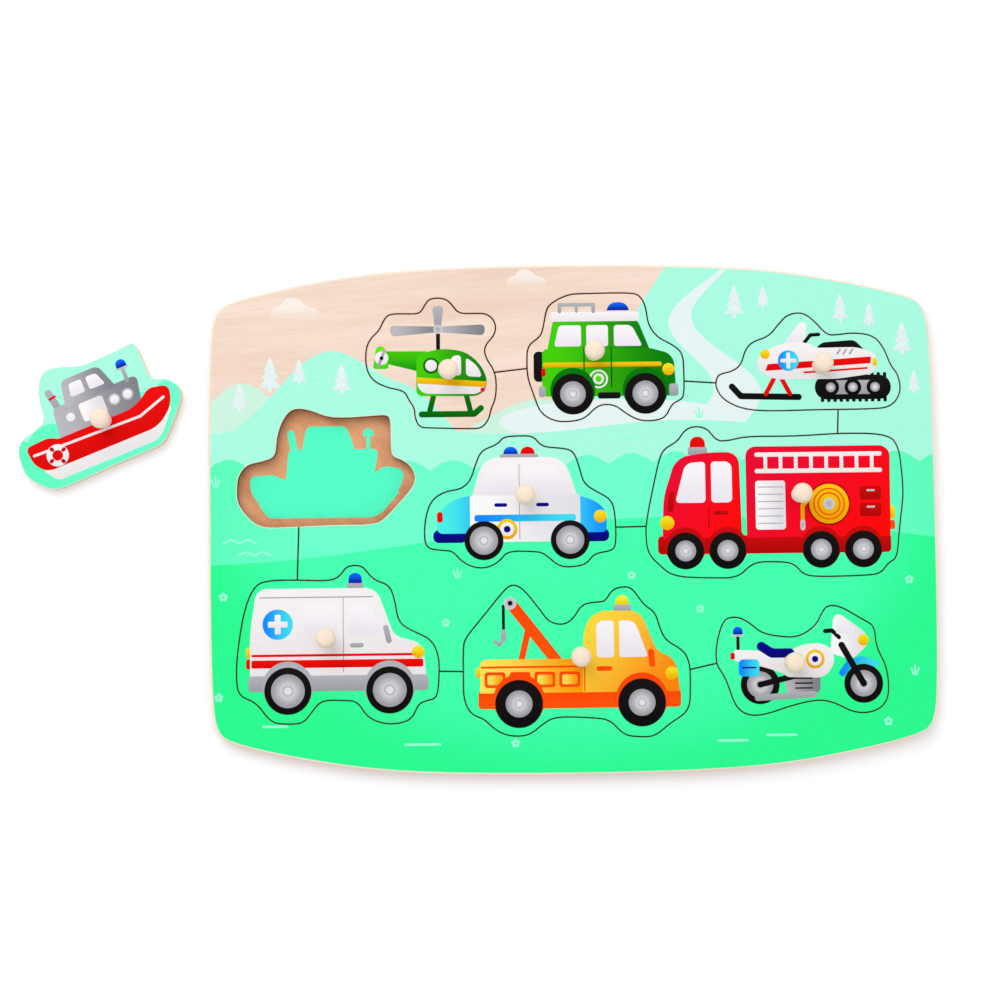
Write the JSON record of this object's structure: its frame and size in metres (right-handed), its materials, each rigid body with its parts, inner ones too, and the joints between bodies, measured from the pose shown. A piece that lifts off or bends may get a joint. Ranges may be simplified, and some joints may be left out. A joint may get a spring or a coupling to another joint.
{
  "type": "peg puzzle",
  "caption": "Flat wooden peg puzzle: a printed board with sawn pockets and vehicle-shaped pieces, each lifted by a turned peg; the boat lies beside its open pocket.",
  "frame": {"origin": "middle of the board's underside", "axes": "+X along the board's length, +Y up the picture, +Z out of the picture"},
  "size_m": [0.3783, 0.21, 0.02],
  "materials": {
    "printed_board": "matt printed plywood",
    "fibreboard": "matt bare fibreboard",
    "peg_wood": "smooth turned wood",
    "boat_print": "matt printed plywood, red hull, grey wheelhouse",
    "helicopter_print": "matt printed plywood, green body, grey rotor",
    "off_road_car_print": "matt printed plywood, green body, white roof",
    "snowmobile_print": "matt printed plywood, white body, red flash, black ski and track",
    "police_car_print": "matt printed plywood, white body, blue ends",
    "fire_engine_print": "matt printed plywood, red body, pale window",
    "ambulance_print": "matt printed plywood, white body, red stripe",
    "tow_truck_print": "matt printed plywood, yellow body, orange crane arm",
    "motorcycle_print": "matt printed plywood, white body, navy seat, blue mudguard"
  },
  "bodies": {
    "board": {"front_sheet": "printed_board", "back_sheet": "fibreboard"},
    "boat": {"boat_plate": "boat_print", "boat_peg": "peg_wood"},
    "helicopter": {"helicopter_plate": "helicopter_print", "helicopter_peg": "peg_wood"},
    "off_road_car": {"off_road_car_plate": "off_road_car_print", "off_road_car_peg": "peg_wood"},
    "snowmobile": {"snowmobile_plate": "snowmobile_print", "snowmobile_peg": "peg_wood"},
    "police_car": {"police_car_plate": "police_car_print", "police_car_peg": "peg_wood"},
    "fire_engine": {"fire_engine_plate": "fire_engine_print", "fire_engine_peg": "peg_wood"},
    "ambulance": {"ambulance_plate": "ambulance_print", "ambulance_peg": "peg_wood"},
    "tow_truck": {"tow_truck_plate": "tow_truck_print", "tow_truck_peg": "peg_wood"},
    "motorcycle": {"motorcycle_plate": "motorcycle_print", "motorcycle_peg": "peg_wood"}
  },
  "joints": [
    {"name": "boat_lift", "type": "slide", "parent": "board", "child": "boat", "axis": [0, 0, 1], "range_m": [0, 0.04]},
    {"name": "helicopter_lift", "type": "slide", "parent": "board", "child": "helicopter", "axis": [0, 0, 1], "range_m": [0, 0.04]},
    {"name": "off_road_car_lift", "type": "slide", "parent": "board", "child": "off_road_car", "axis": [0, 0, 1], "range_m": [0, 0.04]},
    {"name": "snowmobile_lift", "type": "slide", "parent": "board", "child": "snowmobile", "axis": [0, 0, 1], "range_m": [0, 0.04]},
    {"name": "police_car_lift", "type": "slide", "parent": "board", "child": "police_car", "axis": [0, 0, 1], "range_m": [0, 0.04]},
    {"name": "fire_engine_lift", "type": "slide", "parent": "board", "child": "fire_engine", "axis": [0, 0, 1], "range_m": [0, 0.04]},
    {"name": "ambulance_lift", "type": "slide", "parent": "board", "child": "ambulance", "axis": [0, 0, 1], "range_m": [0, 0.04]},
    {"name": "tow_truck_lift", "type": "slide", "parent": "board", "child": "tow_truck", "axis": [0, 0, 1], "range_m": [0, 0.04]},
    {"name": "motorcycle_lift", "type": "slide", "parent": "board", "child": "motorcycle", "axis": [0, 0, 1], "range_m": [0, 0.04]}
  ]
}
